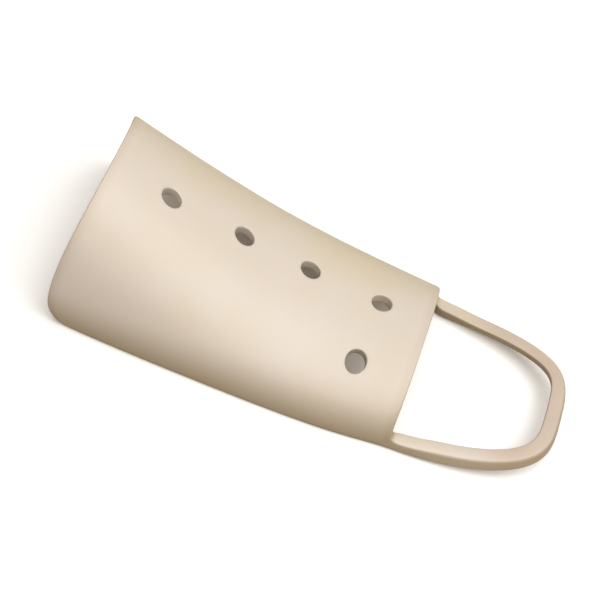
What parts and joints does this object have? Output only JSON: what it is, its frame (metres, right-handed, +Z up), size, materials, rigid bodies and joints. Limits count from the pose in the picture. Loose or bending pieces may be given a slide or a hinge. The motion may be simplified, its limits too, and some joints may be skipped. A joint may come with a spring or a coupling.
{
  "type": "finger splint",
  "caption": "Moulded arched finger splint with vent holes and a fingertip loop that carries the side walls round the tip.",
  "frame": {"origin": "on the table under the middle of the whole length, the two rims resting at z = 0", "axes": "+X towards the fingertip loop, +Z up from the rims to the crest of the arch"},
  "size_m": [0.0558, 0.0246, 0.015],
  "materials": {
    "beige_plastic": "satin, moulded"
  },
  "bodies": {
    "root": {"splint_shell": "beige_plastic"}
  },
  "joints": []
}
